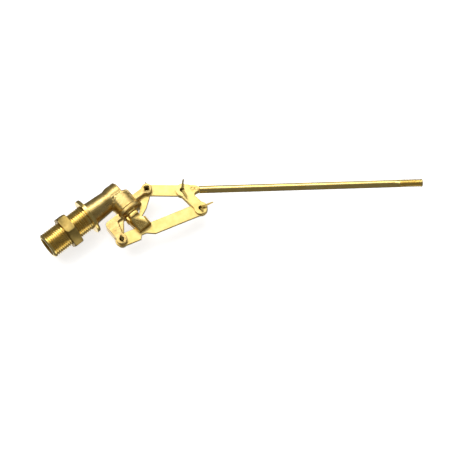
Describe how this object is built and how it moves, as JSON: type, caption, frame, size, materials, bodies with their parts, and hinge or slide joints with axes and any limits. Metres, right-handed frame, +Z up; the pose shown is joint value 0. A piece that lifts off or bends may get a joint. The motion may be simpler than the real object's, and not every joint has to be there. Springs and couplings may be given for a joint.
{
  "type": "float valve",
  "caption": "Brass tank float valve: threaded inlet with flange and jam nut, downward outlet with a plunger, and a compound lever on a long float rod.",
  "frame": {"origin": "centre of the flange's bearing face, on the inlet axis, where the tank wall rests", "axes": "+X along the inlet into the tank, +Z up with the outlet pointing down, linkage in the plane Y = 0"},
  "size_m": [0.2665, 0.03, 0.1644],
  "materials": {
    "cast_brass": "sand cast, satin, with machined threads and flange",
    "nut_brass": "dull brushed",
    "turned_brass": "turned",
    "sheet_brass": "rolled sheet, fine grain",
    "rod_brass": "drawn, polished",
    "wire_brass": "dark drawn wire",
    "washer_rubber": "matte"
  },
  "bodies": {
    "valve_body": {"valve_body": "cast_brass", "orifice_seat": "turned_brass", "upper_lug_cotter": "wire_brass", "lower_lug_cotter": "wire_brass"},
    "jam_nut": {"jam_nut": "nut_brass"},
    "plunger": {"plunger": "turned_brass", "seat_washer": "washer_rubber", "washer_screw": "turned_brass"},
    "upper_lever": {"upper_lever": "sheet_brass"},
    "lower_link": {"lower_link": "sheet_brass"},
    "float_arm": {"crank_plate_near": "sheet_brass", "crank_plate_far": "sheet_brass", "crank_rivets": "sheet_brass", "float_rod": "rod_brass", "crank_upper_cotter": "wire_brass", "crank_lower_cotter": "wire_brass"}
  },
  "joints": [
    {"name": "float_arm_swing", "type": "hinge", "parent": "lower_link", "child": "float_arm", "pos_m": [0.0749, 0, -0.0521], "axis": [0, -1, 0], "range_deg": [0, 15.2]},
    {"name": "lower_link_swing", "type": "hinge", "parent": "valve_body", "child": "lower_link", "pos_m": [0.0099, 0, -0.0334], "axis": [0, -1, 0], "range_deg": [-4.1, 0]},
    {"name": "upper_lever_swing", "type": "hinge", "parent": "valve_body", "child": "upper_lever", "pos_m": [0.0514, 0, -0.0126], "axis": [0, -1, 0], "range_deg": [-15.3, 0]},
    {"name": "plunger_lift", "type": "slide", "parent": "valve_body", "child": "plunger", "axis": [0, 0, 1], "range_m": [0, 0.00567]},
    {"name": "jam_nut_travel", "type": "slide", "parent": "valve_body", "child": "jam_nut", "axis": [1, 0, 0], "range_m": [-0.017, 0.0134]}
  ],
  "couplings": [
    {"joint": "lower_link_swing", "follows": "float_arm_swing", "ratio": -0.2632},
    {"joint": "upper_lever_swing", "follows": "float_arm_swing", "ratio": -1.0026},
    {"joint": "plunger_lift", "follows": "float_arm_swing", "m_per_rad": 0.021297}
  ]
}
